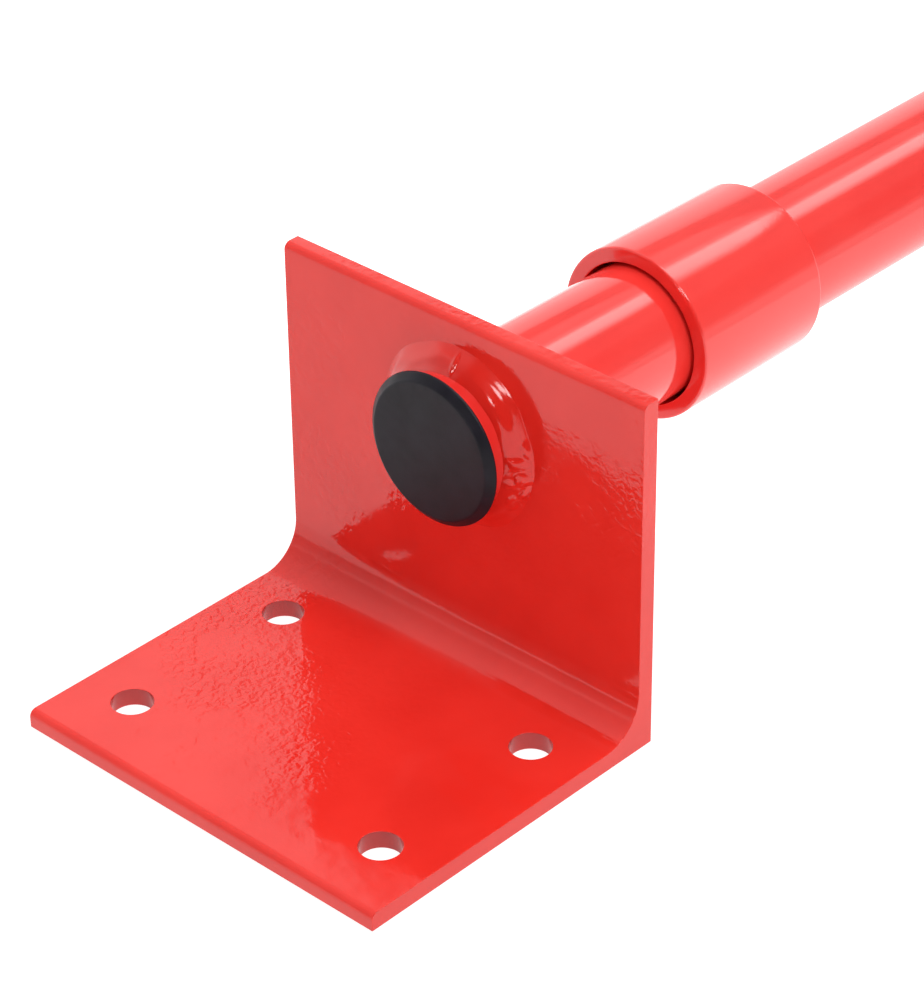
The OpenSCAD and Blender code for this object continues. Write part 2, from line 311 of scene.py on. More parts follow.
class Surface(Graph):
    """A material's nodes round its Principled shader."""

    def __init__(self, name):
        self.material = bpy.data.materials.new(name)
        self.material.use_nodes = True
        super().__init__(self.material.node_tree, "Object")
        self.shader = self.tree.nodes["Principled BSDF"]

    def noise(self, size, detail=2.0, rough=0.5, distortion=0.0, stretch=None):
        """Noise whose features are about `size` metres across."""
        n = self.tree.nodes.new("ShaderNodeTexNoise")
        n.inputs["Scale"].default_value = 1 / size
        n.inputs["Detail"].default_value = detail
        n.inputs["Roughness"].default_value = rough
        n.inputs["Distortion"].default_value = distortion
        place = self.coord
        if stretch:
            m = self.tree.nodes.new("ShaderNodeMapping")
            m.inputs["Scale"].default_value = stretch
            self.link(place, m.inputs["Vector"])
            place = m.outputs["Vector"]
        self.link(place, n.inputs["Vector"])
        return n.outputs["Fac"]

    def vary(self, noise_value, low, high):
        """Noise spread out over the values from low to high."""
        return self.fade(noise_value, 0.3, 0.7, low, high)

    def tint(self, noise_value, low, high):
        """Noise spread out over the colours from low to high."""
        m = self.tree.nodes.new("ShaderNodeMix")
        m.data_type = "RGBA"
        m.inputs["A"].default_value = (*low, 1)
        m.inputs["B"].default_value = (*high, 1)
        self.link(self.vary(noise_value, 0.0, 1.0), m.inputs["Factor"])
        return m.outputs["Result"]

    def calm_side(self):
        """1, but less on one side of a flat leg and by the near toe, where the paint flowed out smooth."""
        x, y, z = self.xyz()
        side = self.fade(y, -28 * MM, -4 * MM, 0.3, 1.0)
        toe = self.fade(x, near_lo.x + 2 * MM, near_lo.x + 28 * MM, 0.35, 1.0)
        upright = self.fade(z, 8 * MM, 20 * MM, 0.0, 1.0)
        return self.maths("MAXIMUM", self.maths("MULTIPLY", side, toe), upright)

    def bump(self, height):
        """height is in metres."""
        b = self.tree.nodes.new("ShaderNodeBump")
        b.inputs["Distance"].default_value = 1.0
        b.inputs["Strength"].default_value = 1.0
        self.link(height, b.inputs["Height"])
        return b.outputs["Normal"]

    def finish(self, color, roughness, normal=None, **constants):
        self.link(color, self.shader.inputs["Base Color"])
        if isinstance(roughness, float):
            self.shader.inputs["Roughness"].default_value = roughness
        else:
            self.link(roughness, self.shader.inputs["Roughness"])
        if normal:
            self.link(normal, self.shader.inputs["Normal"])
        for key, value in constants.items():
            self.shader.inputs[key.replace("_", " ")].default_value = value
        return self.material


def red_paint(name="red_paint", peel=1.0, low=(0.79, 0.023, 0.015), high=(0.85, 0.030, 0.020), ior=1.5):
    """Thick glossy enamel over rolled steel: orange peel that comes and goes, and slow waves under it."""
    m = Surface(name)
    patches = m.fade(m.noise(24 * MM, 1.0), 0.40, 0.60, 0.25, 1.0)
    fine = m.maths("MULTIPLY", m.noise(2.0 * MM, 1.5, 0.5, 0.6), 0.14 * MM * peel)
    fine = m.maths("MULTIPLY", m.maths("MULTIPLY", fine, patches), m.calm_side())
    waves = m.maths("MULTIPLY", m.noise(6 * MM, 1.0), 0.05 * MM * peel)
    normal = m.bump(m.maths("ADD", fine, waves))
    color = m.tint(m.noise(30 * MM, 3.0), low, high)
    rough = m.vary(m.noise(9 * MM, 3.0), 0.06, 0.11)
    return m.finish(color, rough, normal, IOR=ior)


def black_plastic():
    m = Surface("black_plastic")
    grain = m.maths("MULTIPLY", m.noise(0.5 * MM, 3.0, 0.6), 0.012 * MM)
    color = m.tint(m.noise(6 * MM, 4.0), (0.009, 0.008, 0.012), (0.013, 0.011, 0.017))
    rough = m.vary(m.noise(4 * MM, 3.0), 0.34, 0.44)
    return m.finish(color, rough, m.bump(grain), IOR=1.4, Specular_IOR_Level=0.27)


def zinc_plate():
    m = Surface("zinc_steel")
    drawn = m.noise(1.2 * MM, 3.0, 0.6, 0.0, (0.03, 1, 1))
    color = m.tint(m.noise(14 * MM, 4.0), (0.50, 0.51, 0.53), (0.66, 0.67, 0.69))
    lines = m.bump(m.maths("MULTIPLY", drawn, 0.006 * MM))
    return m.finish(color, m.vary(drawn, 0.22, 0.40), lines, Metallic=1.0)


def satin_chrome():
    m = Surface("lock_chrome")
    brushed = m.noise(0.35 * MM, 2.0, 0.6)
    color = m.tint(m.noise(8 * MM, 3.0), (0.66, 0.67, 0.69), (0.76, 0.77, 0.78))
    lines = m.bump(m.maths("MULTIPLY", brushed, 0.002 * MM))
    return m.finish(color, m.vary(brushed, 0.14, 0.26), lines, Metallic=1.0)


def turned_brass():
    m = Surface("lock_brass")
    tooled = m.noise(0.3 * MM, 2.0, 0.6)
    color = m.tint(m.noise(3 * MM, 3.0), (0.62, 0.44, 0.19), (0.74, 0.56, 0.28))
    lines = m.bump(m.maths("MULTIPLY", tooled, 0.003 * MM))
    return m.finish(color, m.vary(tooled, 0.2, 0.36), lines, Metallic=1.0)


def nylon_plastic():
    m = Surface("nylon")
    color = m.tint(m.noise(5 * MM, 3.0), (0.74, 0.71, 0.64), (0.82, 0.80, 0.73))
    rough = m.vary(m.noise(2 * MM, 3.0), 0.38, 0.5)
    return m.finish(color, rough, m.bump(m.maths("MULTIPLY", m.noise(0.8 * MM, 2.0), 0.006 * MM)))


PAINT = red_paint()
TUBE_PAINT = red_paint("red_paint_tube", 0.12, (0.85, 0.036, 0.030), (0.89, 0.044, 0.036), 1.62)
WELD_PAINT = red_paint("red_paint_weld", 0.25)
# Darker red for the walls of the fixing holes: painted shade inside the holes, not a different paint
HOLE_SHADE_PAINT = red_paint("red_paint_hole_shade", 0.5, (0.46, 0.020, 0.018), (0.58, 0.028, 0.024))
BLACK = black_plastic()
ZINC = zinc_plate()
CHROME = satin_chrome()
BRASS = turned_brass()
NYLON = nylon_plastic()


# ---- brackets ----

def angle_section():
    """Outline of the rolled angle: the upright's tube side at x 0, the flat leg's toe at x -LEG."""
    steps = 20
    outline = [(0, 0), (0, LEG)]
    outline += arc(-LEG_T + TOE_R, LEG - TOE_R, TOE_R, 90, 180, steps)
    outline += arc(-LEG_T - ROOT_R, LEG_T + ROOT_R, ROOT_R, 0, -90, steps)
    outline += arc(-LEG + TOE_R, LEG_T - TOE_R, TOE_R, 90, 180, steps)
    outline += [(-LEG, 0)]
    return outline


def fixing_hole_cutters(mount):
    dims = mount["dims"]
    cutters = []
    for i in (-0.5, 0.5):
        for j in (-0.5, 0.5):
            x = mount["pos_m"][0] + i * dims["spacing_x_mm"] * MM
            y = j * dims["spacing_y_mm"] * MM
            cutters.append(rod(dims["hole_r_mm"] * MM, (x, y, -LEG_T), UP, 4 * LEG_T, 72))
    return cutters


def shade_hole_walls(obj, mount):
    """The walls of the fixing holes get a darker red: painted shade inside the holes."""
    obj.data.materials.append(HOLE_SHADE_PAINT)
    dims = mount["dims"]
    hole = Vector((dims["spacing_x_mm"] / 2, dims["spacing_y_mm"] / 2)) * MM
    reach = (dims["hole_r_mm"] + 0.6) * MM
    for polygon in obj.data.polygons:
        place = Vector((abs(polygon.center.x - mount["pos_m"][0]), abs(polygon.center.y)))
        if abs(polygon.normal.z) < 0.5 and (place - hole).length < reach:
            polygon.material_index = 1


def bracket(node, face_x, side, mount, body):
    """A cut length of angle. side is 1 where the toe points to -x, and -1 where it is mirrored."""
    section = angle_section()
    ends = [[Vector((face_x + side * x, y, z)) for x, z in section] for y in (-WIDTH / 2, WIDTH / 2)]
    obj = prism(node + "_painted", *ends)
    tube_hole = rod(TUBE_R, (face_x - 20 * MM, 0, AXIS_Z), ALONG, 40 * MM, 96)
    cut(obj, *fixing_hole_cutters(mount), tube_hole)
    soften(obj, 1.15 * MM, 5, 35)
    dress(obj, PAINT, body, node)
    shade_hole_walls(obj, mount)


bracket("near_bracket", NEAR_FACE, 1, MOUNTS["near_wall_bolts"], "sliding_half")
bracket("far_bracket", FAR_FACE, -1, MOUNTS["far_wall_bolts"], "fixed_half")


# ---- tubes and sleeve ----

def pipe(name, x0, x1, ro, ri, segments=160):
    """A tube along the bar, with softly broken edges."""
    outer_edge = 0.4 * MM
    inner_edge = 0.25 * MM
    length = x1 - x0
    profile = rounded([(ri, 0), (ro, 0), (ro, length), (ri, length)],
                      [inner_edge, outer_edge, outer_edge, inner_edge])
    return lathe(name, profile, (x0, 0, AXIS_Z), ALONG, segments)


def stub_tube():
    obj = pipe("near_stub_painted", stub_lo.x, stub_hi.x, TUBE_R, TUBE_BORE, 192)
    return dress(obj, TUBE_PAINT, "sliding_half", "near_stub_tube")


def outer_tube():
    """Its two holes let the lock bolt and the stop screw through."""
    obj = pipe("outer_tube_painted", tube_lo.x, tube_hi.x, TUBE_R, TUBE_BORE, 192)
    axis_at_lock = (LOCK_X, 0, AXIS_Z)
    cut(obj, rod(BOLT_HOLE_R, axis_at_lock, UP, 20 * MM, 64, 5 * MM),
        rod(SCREW_HOLE_R, axis_at_lock, DOWN, 20 * MM, 48, 5 * MM))
    shade(obj, 35)
    return dress(obj, TUBE_PAINT, "fixed_half", "outer_tube")


def sleeve():
    """Ring with a wide bore round the stub's mouth and a close one on the outer tube."""
    length = sleeve_hi.x - sleeve_lo.x
    close_bore = TUBE_R + GAP
    profile = rounded(
        [(SLEEVE_BORE_R, 0), (SLEEVE_R, 0), (SLEEVE_R, length), (close_bore, length),
         (close_bore, SLEEVE_STEP), (SLEEVE_BORE_R, SLEEVE_STEP)],
        [0.35 * MM, 0.9 * MM, 0.9 * MM, 0.3 * MM, 0, 0], 6)
    obj = lathe("joint_sleeve_painted", profile, (sleeve_lo.x, 0, AXIS_Z), ALONG, 224)
    return dress(obj, TUBE_PAINT, "fixed_half", "joint_sleeve")


stub_tube()
outer_tube()
sleeve()


# ---- welds and plugs on the uprights ----

# Lumps of the front welds: (angle in degrees, place across the fillet, half length round the tube,
# half width, height)
LUMPS = [(263, 0.72, 3.4 * MM, 2.0 * MM, 1.0 * MM), (274, 0.50, 2.2 * MM, 2.8 * MM, 0.7 * MM),
         (252, 0.90, 2.6 * MM, 1.9 * MM, 1.1 * MM), (243, 0.62, 3.6 * MM, 1.8 * MM, 0.7 * MM),
         (257, 0.35, 1.6 * MM, 2.2 * MM, 0.5 * MM), (282, 0.85, 3.0 * MM, 1.4 * MM, 0.5 * MM),
         (357, 0.50, 0.9 * MM, 3.4 * MM, 0.5 * MM)]


def bumpy(a, t, seed):
    """A value between -1 and 1 that wanders round a weld and across its fillet."""
    return noise.noise(Vector((2.2 * math.cos(a), 2.2 * math.sin(a), 1.5 * t + seed)))


def lump_height(lumps, a, r, t, spread):
    """Height that the lumps add at angle a, at place t across a fillet that is `spread` wide."""
    total = 0.0
    for degrees, place, along, out, height in lumps:
        turn = (a - math.radians(degrees) + math.pi) % TAU - math.pi
        uneven = 1 + 0.45 * noise.noise(Vector((turn * r / MM * 0.55, t * 3.1, degrees)))
        d = math.hypot(turn * r / along, (t - place) * spread / out) * uneven
        if d < 1:
            total += height * (1 - d * d) ** 2
    return total


def fillet_weld(node, face_x, side, body, spread, rise, seed, lumps=()):
    """Weld round a tube where it goes through an upright. side points away from the plate."""
    steps = 30
    # Points are (place across the fillet, 1 for its surface or 0 for its hidden back)
    profile = [(0, 0)] + [(i / steps, 1) for i in range(steps + 1)] + [(1, 0)]

    def warp(a, t, on_surface):
        if not on_surface:
            return (TUBE_R - 0.3 * MM if t == 0 else TUBE_R + spread * 0.9), -0.25 * MM
        width = spread * (1 + 0.12 * bumpy(a, 0, seed) + 0.10 * max(0.0, math.cos(a)))
        r = TUBE_R + width * t
        h = rise * (1 + 0.12 * bumpy(a, 0, seed + 7)) * (1 - t) ** 1.1
        h += math.sin(math.pi * t) * (0.35 + 0.5 * bumpy(a, 1.5 * t, seed + 3)) * MM
        h += lump_height(lumps, a, r, t, spread)
        edge = max(0.0, 1 - (1 - t) * 18)
        return r, h * (1 - edge) - 0.05 * MM * edge

    obj = lathe(node + "_bead", profile, (face_x, 0, AXIS_Z), (side, 0, 0), 360, warp, 70)
    return dress(obj, WELD_PAINT, body, node)


def end_plug(node, tip_x, side, body):
    """Push-in plug whose flange sits on the end of a tube."""
    r = 20.9 * MM
    top = 2.3 * MM
    face = r - 2.4 * MM
    corner = 1.0 * MM
    spigot = TUBE_BORE - 1.2 * MM
    cup = spigot - 2 * MM
    depth = 12 * MM
    profile = [(0, top - 0.1 * MM), (face - 3 * MM, top - 0.05 * MM), (face - 1 * MM, top)]
    profile += arc(face, top - corner, corner, 90, 42, 10)
    profile += arc(r - corner, top - 2.1 * MM, corner, 42, 0, 6)
    profile += [(r, 0.15 * MM), (r - 0.15 * MM, GAP), (spigot, GAP)]
    for fin in (3 * MM, 7 * MM):
        profile += [(spigot, -fin), (TUBE_BORE - GAP, -fin - 0.6 * MM), (spigot, -fin - 2.6 * MM)]
    profile += [(spigot, -depth), (cup, -depth), (cup, -0.6 * MM), (0, -0.6 * MM)]
    obj = lathe(node + "_moulded", profile, (tip_x, 0, AXIS_Z), (side, 0, 0), 192, sharp=35)
    return dress(obj, BLACK, body, node)


fillet_weld("near_front_weld", NEAR_FACE - LEG_T, -1, "sliding_half", 6.2 * MM, 4.3 * MM, 1.3, LUMPS)
fillet_weld("near_back_weld", NEAR_FACE, 1, "sliding_half", 5 * MM, 4 * MM, 4.1)
fillet_weld("far_front_weld", FAR_FACE + LEG_T, 1, "fixed_half", 6.2 * MM, 4.3 * MM, 8.7, LUMPS)
fillet_weld("far_back_weld", FAR_FACE, -1, "fixed_half", 5 * MM, 4 * MM, 6.9)
end_plug("near_end_plug", stub_lo.x, -1, "sliding_half")
end_plug("far_end_plug", tube_hi.x, 1, "fixed_half")


# ---- inside the tubes ----

def inner_tube():
    """Drawn tube with round lock holes on top and the stop screw's slot below."""
    obj = pipe("inner_tube_drawn", inner_lo.x, inner_hi.x, INNER_R, INNER_BORE, 128)
    travel = JOINTS["bar_slide"]["range_m"][1]
    for k in range(round(travel / LOCK_PITCH) + 1):
        at = (LOCK_X + LOCK_PITCH * k, 0, AXIS_Z)
        cut(obj, rod(BOLT_HOLE_R, at, UP, 20 * MM, 48, 5 * MM))
    slot_ends = [(LOCK_X + x, 0, AXIS_Z) for x in (0, travel)]
    cut(obj, *[rod(SCREW_HOLE_R, at, DOWN, 20 * MM, 32, 5 * MM) for at in slot_ends])
    cut(obj, box_piece("cutter", (LOCK_X, -SCREW_HOLE_R, AXIS_Z - 25 * MM),
                       (LOCK_X + travel, SCREW_HOLE_R, AXIS_Z - 5 * MM)))
    shade(obj, 35)
    return dress(obj, ZINC, "sliding_half", "inner_tube")


def packing_rings():
    """Two rings that centre the inner tube in the stub."""
    length = 12 * MM
    rings = []
    for x in (NEAR_FACE + 8 * MM, NEAR_FACE + 60 * MM):
        rings.append(pipe("packing_rings_cut", x, x + length, TUBE_BORE - GAP, INNER_R + GAP))
    return dress(join(*rings), ZINC, "sliding_half", "packing_rings")


def seam_weld():
    """Bead in the mouth of the stub, round the inner tube."""
    inner = INNER_R + GAP
    outer = TUBE_BORE - GAP
    profile = [(inner, 0), (outer, 0), (outer, 3 * MM), (outer - 0.3 * MM, 3.5 * MM), (inner, 3.8 * MM)]

    def warp(a, r, h):
        on_top = h > 1 * MM
        return r, h - 0.35 * MM * abs(math.sin(a * 14)) if on_top else h

    obj = lathe("seam_weld_bead", profile, (stub_hi.x - 4 * MM, 0, AXIS_Z), ALONG, 240, warp, 60)
    return dress(obj, ZINC, "sliding_half", "seam_weld")


def rear_bush():
    """Pushed into the free end of the inner tube, with a head that runs in the outer tube."""
    bore = 10 * MM
    spigot = INNER_BORE - GAP
    head = TUBE_BORE - 0.05 * MM
    profile = rounded([(bore, -12 * MM), (spigot, -12 * MM), (spigot, GAP), (head, GAP), (head, 8 * MM),
                       (head - 1 * MM, 9 * MM), (bore, 9 * MM)],
                      [0, 0.5 * MM, 0, 0.3 * MM, 0.6 * MM, 0.6 * MM, 0.4 * MM])
    obj = lathe("rear_guide_bush_moulded", profile, (inner_hi.x, 0, AXIS_Z), ALONG)
    return dress(obj, NYLON, "sliding_half", "rear_guide_bush")


def front_bush():
    """Pushed into the mouth of the outer tube, for the inner tube to run in."""
    bore = INNER_R + 0.05 * MM
    lip = TUBE_R - 0.1 * MM
    spigot = TUBE_BORE - GAP
    profile = rounded([(bore, -2 * MM), (lip, -2 * MM), (lip, -GAP), (spigot, -GAP), (spigot, 30 * MM),
                       (bore, 30 * MM)], [0.3 * MM, 0.4 * MM, 0, 0, 0.3 * MM, 0.2 * MM])
    obj = lathe("front_guide_bush_moulded", profile, (tube_lo.x, 0, AXIS_Z), ALONG)
    return dress(obj, NYLON, "fixed_half", "front_guide_bush")


inner_tube()
packing_rings()
seam_weld()
rear_bush()
front_bush()


# ---- plug welds of the sleeve ----

def crown(name, x, turn):
    """A low round crown of weld on the sleeve. turn is the angle round the X axis from +Z towards +Y."""
    r = 3.9 * MM
    height = 0.6 * MM
    rings = 14
    around = 72
    verts = []
    for k in range(rings + 1):
        inward = 1 - k / rings
        rho = r * k / rings
        for i in range(around):
            psi = TAU * i / around
            dx = rho * math.cos(psi)
            dy = rho * math.sin(psi)
            lift = height * (1 - (k / rings) ** 2) + 0.12 * MM * math.cos(k * 1.9) * inward
            lift += 0.15 * MM * noise.noise(Vector((dx / MM, dy / MM, turn)))
            if k == rings:
                lift = -0.6 * MM
            a = turn + dy / SLEEVE_R
            out = SLEEVE_R + lift
            verts.append((x + dx, out * math.sin(a), AXIS_Z + out * math.cos(a)))
    return new_piece(name, verts, row_faces(rings, around), 70)


def sleeve_plug_welds():
    """Two crowns, a quarter turn apart: one towards the wall and one towards +Y."""
    x = sleeve_hi.x - 11 * MM
    obj = join(crown("sleeve_plug_welds_crowns", x, math.pi), crown("crown", x, math.pi / 2))
    return dress(obj, WELD_PAINT, "fixed_half", "sleeve_plug_welds")


sleeve_plug_welds()


# ---- lock ----

# The lock's sizes are in millimetres from where its axis crosses the bar's, the same as in the CAD
LOCK = Vector((LOCK_X, 0, AXIS_Z))
HOUSING_R = 17
HOUSING_BORE_R = 11.05
HOUSING_TOP = 53.5
HOUSING_FLOOR = 22
BARREL_R = 11
BARREL_FOOT = 32
BARREL_TOP = 62
BOLT_R = 4.5
BOLT_TOP = 46
KEY_R = 6
CAM_FOOT = 47.3
CAM_TOP = 51
RIVET_X = -8.6
SET_SCREW_Z = 45
STOP_BOSS_R = 7


def lock_point(x, y, z):
    return LOCK + Vector((x * MM, y * MM, z * MM))


def lock_profile(points, radii, steps=6):
    """A lathe profile from (radius, height) in millimetres, with its corners rounded."""
    in_metres = [(r * MM, h * MM) for r, h in points]
    return rounded(in_metres, [r * MM for r in radii], steps)


def turned(name, points, radii, segments=160):
    """A piece turned about the lock's axis."""
    return lathe(name, lock_profile(points, radii), LOCK, UP, segments)


def lock_box(lo, hi, name="cutter"):
    return box_piece(name, lock_point(*lo), lock_point(*hi))


def seat_on_tube(obj, reach):
    """Cuts the outer tube's round out of a piece that stands on it."""
    cut(obj, rod(TUBE_R + GAP, (LOCK_X - reach, 0, AXIS_Z), ALONG, 2 * reach, 192))


def socket_head(obj, at, axis, across, depth):
    """Sinks a hexagon socket; at is the middle of its mouth."""
    cut(obj, rod(across / 2, at, axis, depth * 2, 6, -depth))


def saddle_weld(node, r, spread, rise, up, seed):
    """Bead in the corner between a boss of radius r and the outer tube. up is -1 below the tube."""
    around = 240
    across = 10
    verts = []
    for i in range(around):
        a = TAU * i / around
        wander = noise.noise(Vector((3 * math.cos(a), 3 * math.sin(a), seed)))
        ripple = 1 + 0.10 * wander + 0.04 * math.sin(34 * a)
        start = math.asin(min(1.0, r * math.sin(a) / TUBE_R))
        end = start + spread * ripple / TUBE_R * math.sin(a)
        reach = (r + spread * ripple) * math.cos(a)
        foot = Vector((reach, TUBE_R * math.sin(end), TUBE_R * math.cos(end)))
        head = Vector((r * math.cos(a), r * math.sin(a), TUBE_R * math.cos(start) + rise * ripple))
        seat = Vector((r * math.cos(a), TUBE_R * math.sin(start), TUBE_R * math.cos(start)))
        crowned = (head + foot) / 2 - seat
        for k in range(across + 1):
            t = k / across
            verts.append(head * (1 - t) + foot * t + crowned * 0.077 * math.sin(math.pi * t))
        verts.append(seat + Vector((-1.2 * MM * math.cos(a), -1.2 * MM * math.sin(a), -0.8 * MM)))
    placed = [LOCK + Vector((v.x, v.y, up * v.z)) for v in verts]
    obj = new_piece(node + "_bead", placed, hoop_faces(around, across + 2), 70)
    return dress(obj, WELD_PAINT, "fixed_half", node)


def lock_housing():
    """Boss on the outer tube. The lug enters one of its grooves with the barrel out, one with it in."""
    groove_r = 12.8
    groove_half = 1.9
    profile = [(5, 8), (HOUSING_R, 8), (HOUSING_R, HOUSING_TOP), (HOUSING_BORE_R, HOUSING_TOP)]
    radii = [0, 0, 1.4, 0.4]
    for middle in (49.1, 41.1):
        top = middle + groove_half
        low = middle - groove_half
        profile += [(HOUSING_BORE_R, top), (groove_r, top), (groove_r, low), (HOUSING_BORE_R, low)]
        radii += [0.1, 0, 0, 0.1]
    profile += [(HOUSING_BORE_R, HOUSING_FLOOR), (5, HOUSING_FLOOR)]
    obj = turned("lock_housing_painted", profile, radii + [0, 0])
    seat_on_tube(obj, 40 * MM)
    cut(obj, rod(2.02 * MM, lock_point(0, 0, SET_SCREW_Z), ALONG, 30 * MM, 48, 5 * MM))
    shade(obj, 35)
    return dress(obj, TUBE_PAINT, "fixed_half", "lock_housing")


def lock_barrel():
    """Push barrel with a fine turned ring on its face, a window for the lug and a slot for the set screw."""
    cup_r = 9.4
    ring_r = 9.55
    bolt_bore_r = BOLT_R + 0.02
    key_bore_r = KEY_R + 0.05
    obj = turned("lock_barrel_turned",
                 [(bolt_bore_r, 40), (cup_r, 40), (cup_r, BARREL_FOOT), (BARREL_R, BARREL_FOOT),
                  (BARREL_R, BARREL_TOP), (ring_r + 0.15, BARREL_TOP), (ring_r, BARREL_TOP - 0.2),
                  (ring_r - 0.15, BARREL_TOP), (key_bore_r, BARREL_TOP), (key_bore_r, 47), (bolt_bore_r, 47)],
                 [0, 0, 0.2, 0.2, 0.9, 0, 0, 0, 0.2, 0, 0])
    lug_window = lock_box((-2.2, 0, 47.4), (2.2, 12, 50.8))
    cut(obj, lug_window)
    screw_slot = lock_box((8.6, -2.35, 42.65), (13.6, 2.35, 55.35))
    cut(obj, screw_slot)
    rivet_hole = rod(1.47 * MM, lock_point(RIVET_X, 0, 58), UP, 10 * MM, 32)
    cut(obj, rivet_hole)
    shade(obj, 30)
    return dress(obj, CHROME, "push_barrel", "lock_barrel")


def lock_bolt():
    tip = 17.2
    obj = turned("lock_bolt_turned",
                 [(0, tip), (BOLT_R - 1, tip), (BOLT_R, tip + 1), (BOLT_R, BOLT_TOP), (0, BOLT_TOP)],
                 [0, 0.3, 0.4, 0.3, 0], 96)
    return dress(obj, ZINC, "push_barrel", "lock_bolt")


def key_core():
    """Turned plug with its keyway, and the eccentric cam below it."""
    core = turned("key_core_turned", [(0, CAM_TOP), (KEY_R, CAM_TOP), (KEY_R, 61.7), (0, 61.7)],
                  [0, 0.2, 0.35, 0], 96)
    keyway = lock_box((-0.8, -3.6, 53), (0.8, 3.6, 63))
    side_groove = lock_box((-1.6, -3.6, 53), (0.2, -1.6, 63))
    cut(core, keyway, side_groove)
    offset = 0.92 * math.sqrt(0.5)
    cam_r = 4.9
    profile = [(0, CAM_FOOT), (cam_r, CAM_FOOT), (cam_r, CAM_TOP + 0.02), (0, CAM_TOP + 0.02)]
    cam = lathe("cam", lock_profile(profile, [0, 0.3, 0, 0], 4), lock_point(offset, -offset, 0), UP, 96)
    join(core, cam)
    shade(core, 30)
    return dress(core, BRASS, "key_core", "key_core")


def latch_lug():
    obj = lock_box((-1.9, 4.6, 47.7), (1.9, 10.7, 50.5), "latch_lug_pressed")
    soften(obj, 0.3 * MM, 3)
    return dress(obj, ZINC, "latch_lug", "latch_lug")


def set_screw():
    """Through the housing into the barrel's slot, square to the lock's axis."""
    tip = 8.9
    head = 16.6
    profile = lock_profile([(0, tip), (2, tip), (2, head), (0, head)], [0, 0.4, 0.3, 0], 4)
    obj = lathe("barrel_set_screw_turned", profile, lock_point(0, 0, SET_SCREW_Z), ALONG, 48)
    socket_head(obj, lock_point(head, 0, SET_SCREW_Z), (-1, 0, 0), 2.3 * MM, 2 * MM)
    shade(obj, 30)
    return dress(obj, ZINC, "fixed_half", "barrel_set_screw")


def cover_rivet():
    shank_r = 1.45
    head_r = 2.4
    foot = 58.2
    under_head = 63.6
    dome_rise = 0.65
    points = [(0, foot), (shank_r, foot), (shank_r, under_head), (head_r, under_head)]
    for k in range(1, 8):
        t = k * math.pi / 16
        points.append((head_r * math.cos(t), under_head + 0.05 + dome_rise * math.sin(t)))
    points.append((0, under_head + 0.05 + dome_rise))
    profile = [(r * MM, h * MM) for r, h in points]
    obj = lathe("cover_rivet_domed", profile, lock_point(RIVET_X, 0, 0), UP, 48)
    return dress(obj, CHROME, "push_barrel", "cover_rivet")


def dust_cover():
    """Swinging plate over the keyway, with an ear for the rivet and a thumb tab."""
    disc = 6.8
    ear = 2.4
    tab = math.degrees(math.asin(1.6 / disc))
    neck = 180 - math.degrees(math.asin(ear / disc))
    outline = [(8.1, -1.6), (8.4, -1.3), (8.4, 1.3), (8.1, 1.6)]
    outline += arc(0, 0, disc, tab, neck, 40)
    outline += arc(RIVET_X, 0, ear, 90, 270, 24)
    outline += arc(0, 0, disc, 360 - neck, 360 - tab, 40)
    obj = prism("dust_cover_stamped", *[[lock_point(x, y, h) for x, y in outline] for h in (62.3, 63.5)])
    cut(obj, rod(1.5 * MM, lock_point(RIVET_X, 0, 60), UP, 10 * MM, 48))
    soften(obj, 0.25 * MM, 3, 50)
    return dress(obj, CHROME, "dust_cover", "dust_cover")


def plunger_spring():
    """Round wire wound between the housing's floor and the barrel."""
    wire = 0.7 * MM
    coil = 7.4 * MM
    turns = 5
    low = 22.8 * MM
    high = 39.2 * MM
    steps = 72 * turns
    sides = 16
    verts = []
    for i in range(steps + 1):
        a = TAU * turns * i / steps
        centre = LOCK + Vector((coil * math.cos(a), coil * math.sin(a), low + (high - low) * i / steps))
        out = Vector((math.cos(a), math.sin(a), 0))
        for j in range(sides):
            b = TAU * j / sides
            verts.append(centre + out * wire * math.cos(b) + Vector((0, 0, wire * math.sin(b))))
    caps = [tuple(range(sides)), tuple(range(steps * sides, (steps + 1) * sides))]
    obj = new_piece("plunger_spring_wound", verts, row_faces(steps, sides) + caps, 60)
    dress(obj, ZINC, "fixed_half", "plunger_spring")
    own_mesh(obj)


def stop_boss():
    """Threaded boss for the stop screw, below the outer tube."""
    bore = 3
    recess = 5.2
    profile = lock_profile([(bore, 15), (STOP_BOSS_R, 15), (STOP_BOSS_R, 26), (recess, 26), (recess, 23),
                            (bore, 23)], [0, 0, 0.6, 0.2, 0, 0], 4)
    obj = lathe("stop_boss_painted", profile, LOCK, DOWN, 96)
    seat_on_tube(obj, 20 * MM)
    shade(obj, 35)
    return dress(obj, TUBE_PAINT, "fixed_half", "stop_boss")


def stop_screw():
    """Runs in the inner tube's slot, with its head in the boss."""
    tip = INNER_BORE / MM - 1.5
    thread_r = 2.95
    head_r = 5
    seat = 23.02
    end = 26.22
    profile = lock_profile([(0, tip), (thread_r, tip), (thread_r, seat), (head_r, seat), (head_r, end),
                            (0, end)], [0, 0.5, 0, 0.1, 0.5, 0], 4)
    obj = lathe("stop_screw_turned", profile, LOCK, DOWN, 72)
    socket_head(obj, lock_point(0, 0, -end), UP, 4.6 * MM, 2.2 * MM)
    shade(obj, 30)
    return dress(obj, ZINC, "fixed_half", "stop_screw")


lock_housing()
saddle_weld("housing_weld", HOUSING_R * MM, 3 * MM, 2.6 * MM, 1, 2.0)
lock_barrel()
lock_bolt()
key_core()
latch_lug()
set_screw()
cover_rivet()
dust_cover()
plunger_spring()
stop_boss()
saddle_weld("stop_boss_weld", STOP_BOSS_R * MM, 2 * MM, 2 * MM, -1, 5.0)
stop_screw()


# ---- studio ----

